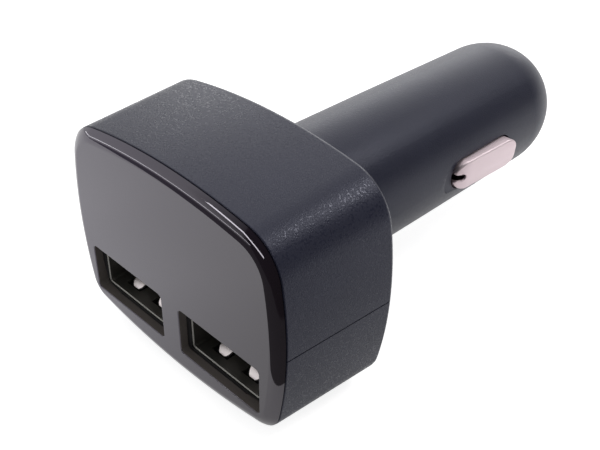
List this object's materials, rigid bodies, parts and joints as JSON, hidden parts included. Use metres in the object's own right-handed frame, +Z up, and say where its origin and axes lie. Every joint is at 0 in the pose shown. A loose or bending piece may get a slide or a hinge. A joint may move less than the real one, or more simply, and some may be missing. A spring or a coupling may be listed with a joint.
{
  "type": "car usb charger plug",
  "caption": "Car charger plug: drafted bow-sided head with a glossy front panel and USB ports, round barrel with sprung side contacts and a sprung tip contact.",
  "frame": {"origin": "centre of the bounding box's base: under the middle of the plug's length, at the lowest edge of the head", "axes": "+Y along the barrel from the face to the tip contact, +X to the right as seen on the face, +Z up, the ports below the middle"},
  "size_m": [0.043, 0.0792, 0.0334],
  "materials": {
    "smoked_panel": "polished, smoked",
    "charcoal_plastic": "fine spark-eroded grain",
    "black_plastic": "moulded",
    "display": "cast",
    "board_green": "solder mask",
    "gold_contact": "gold plated",
    "capacitor_sleeve": "shrink sleeve",
    "ferrite": "sintered",
    "copper_wire": "enamelled copper",
    "brass": "turned",
    "spring_steel": "drawn",
    "nickel": "nickel plated",
    "shell_steel": "tin plated"
  },
  "bodies": {
    "body": {"front_panel": "smoked_panel", "panel_carrier": "black_plastic", "display": "display", "display_board": "board_green", "upper_housing": "charcoal_plastic", "lower_housing": "charcoal_plastic", "usb_shell_left": "shell_steel", "usb_shell_right": "shell_steel", "usb_insulator_left": "black_plastic", "usb_insulator_right": "black_plastic", "usb_contacts_left": "gold_contact", "usb_contacts_right": "gold_contact", "usb_board": "board_green", "board_pins": "gold_contact", "main_board": "board_green", "output_capacitor": "capacitor_sleeve", "inductor_core": "ferrite", "inductor_coil": "copper_wire", "input_capacitor": "capacitor_sleeve", "converter_chip": "black_plastic", "diode": "black_plastic", "side_spring_left": "spring_steel", "side_spring_right": "spring_steel", "spring_seat": "brass", "tip_spring": "spring_steel"},
    "side_contact_left": {"side_contact_left": "nickel"},
    "side_contact_right": {"side_contact_right": "nickel"},
    "tip_contact": {"tip_contact": "nickel"}
  },
  "joints": [
    {"name": "side_left_press", "type": "slide", "parent": "body", "child": "side_contact_left", "axis": [1, 0, 0], "range_m": [0, 0.0012], "stiffness_N_per_m": 2500, "springref_m": -0.0008, "deforming": ["side_spring_left"]},
    {"name": "side_right_press", "type": "slide", "parent": "body", "child": "side_contact_right", "axis": [-1, 0, 0], "range_m": [0, 0.0012], "stiffness_N_per_m": 2500, "springref_m": -0.0008, "deforming": ["side_spring_right"]},
    {"name": "tip_press", "type": "slide", "parent": "body", "child": "tip_contact", "axis": [0, -1, 0], "range_m": [0, 0.0026], "stiffness_N_per_m": 1500, "springref_m": -0.002, "deforming": ["tip_spring"]}
  ]
}
